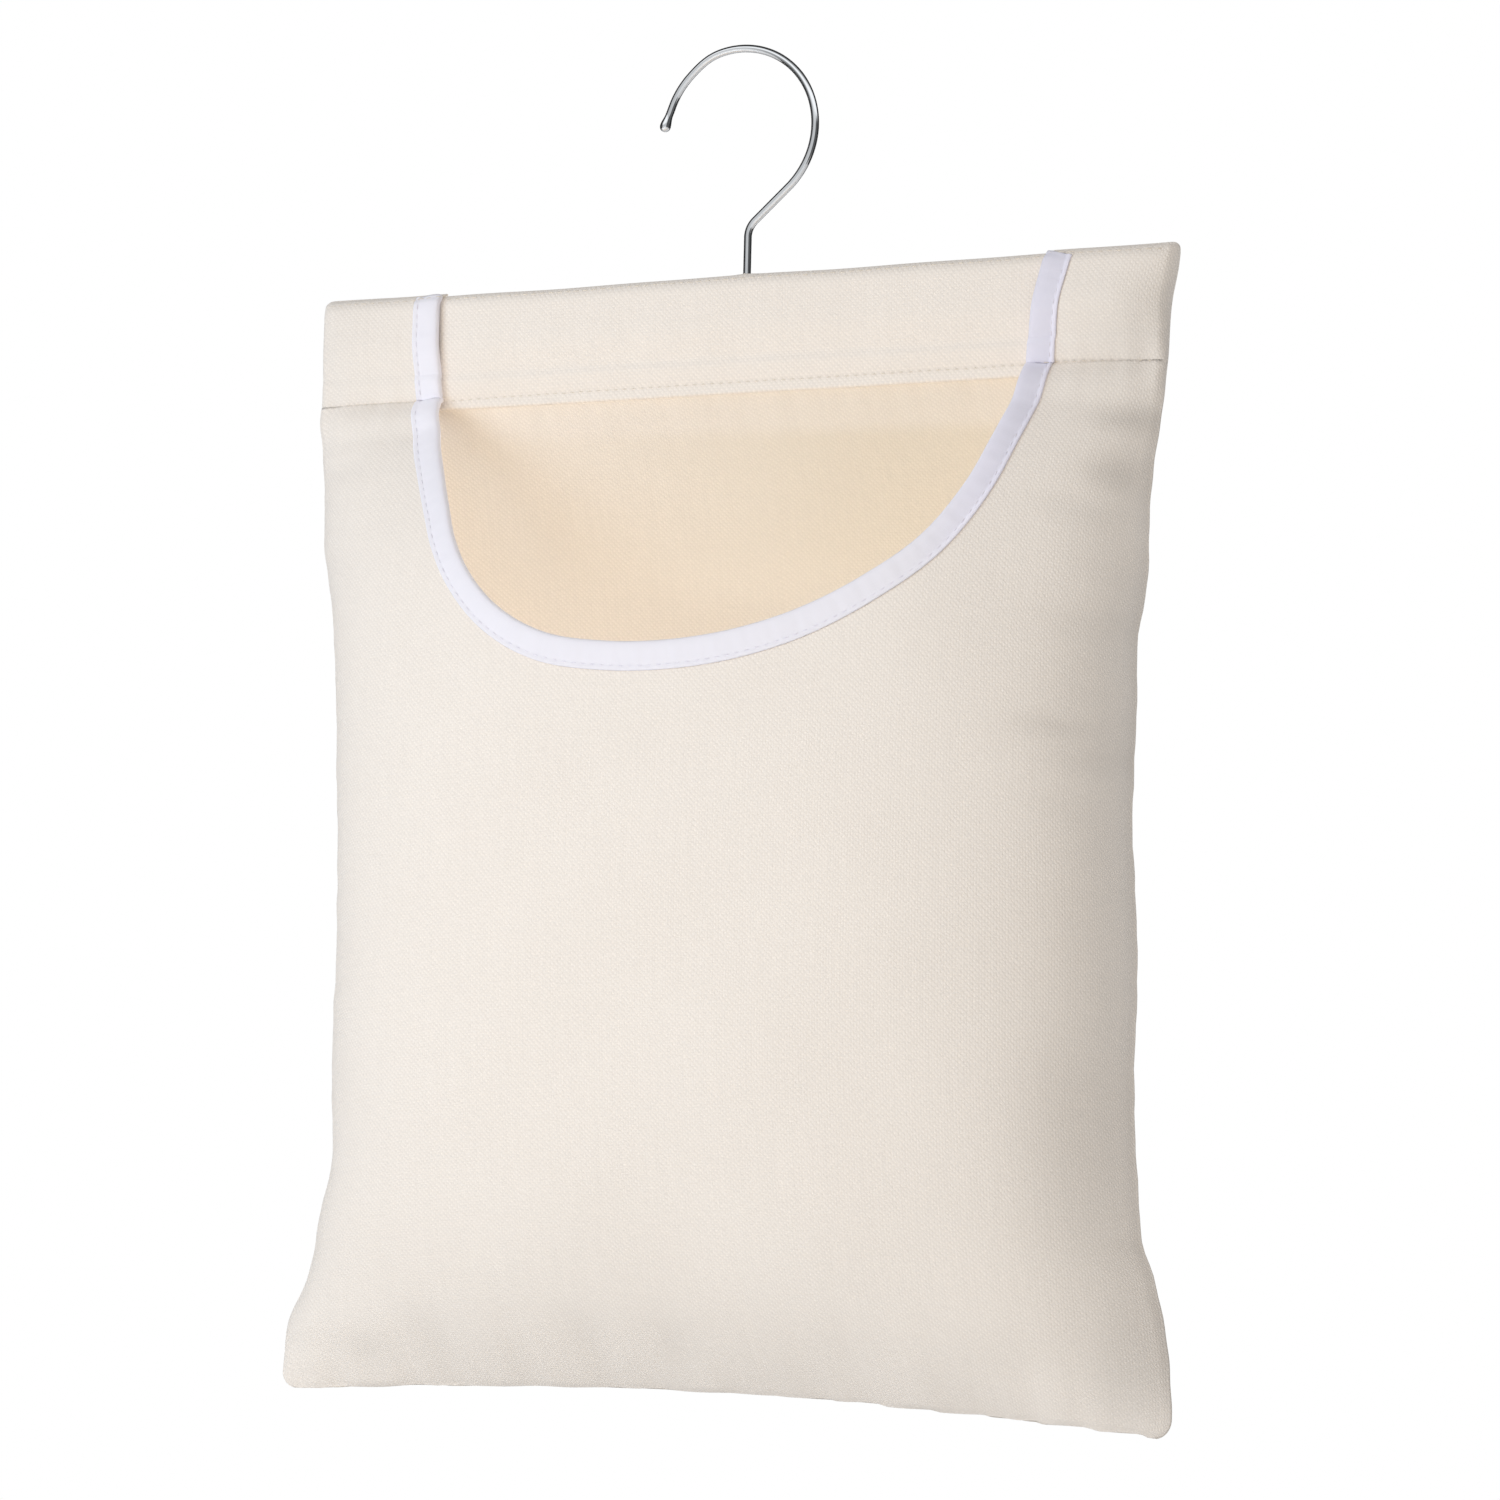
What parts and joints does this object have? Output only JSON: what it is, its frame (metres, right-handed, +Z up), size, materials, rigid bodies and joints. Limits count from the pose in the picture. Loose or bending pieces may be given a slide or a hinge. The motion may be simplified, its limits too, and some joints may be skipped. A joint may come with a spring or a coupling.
{
  "type": "peg bag",
  "caption": "Canvas peg bag with a scooped, tape-bound mouth, held open by a hidden wooden bar and hung from a swivelling chrome wire hook.",
  "frame": {"origin": "the inside of the hook's crown, where the rail or line that the bag hangs on touches it", "axes": "+Z up, -Y out of the front of the bag with its mouth, +X to the right of someone who faces the front"},
  "size_m": [0.344, 0.1074, 0.4917],
  "materials": {
    "hook_wire": "bright chrome plate",
    "washer_steel": "plain zinc plate",
    "bar_wood": "sanded, unvarnished",
    "canvas": "natural cotton canvas, plain weave",
    "binding_tape": "white cotton bias tape"
  },
  "bodies": {
    "hook": {"hook": "hook_wire", "hook_washer": "washer_steel"},
    "bag": {"hanger_bar": "bar_wood", "back_panel": "canvas", "top_band": "canvas", "front_panel": "canvas", "mouth_binding": "binding_tape"}
  },
  "joints": [
    {"name": "hook_swivel", "type": "hinge", "parent": "hook", "child": "bag", "pos_m": [0.0048, 0, -0.083], "axis": [0, 0, 1], "continuous": true}
  ]
}
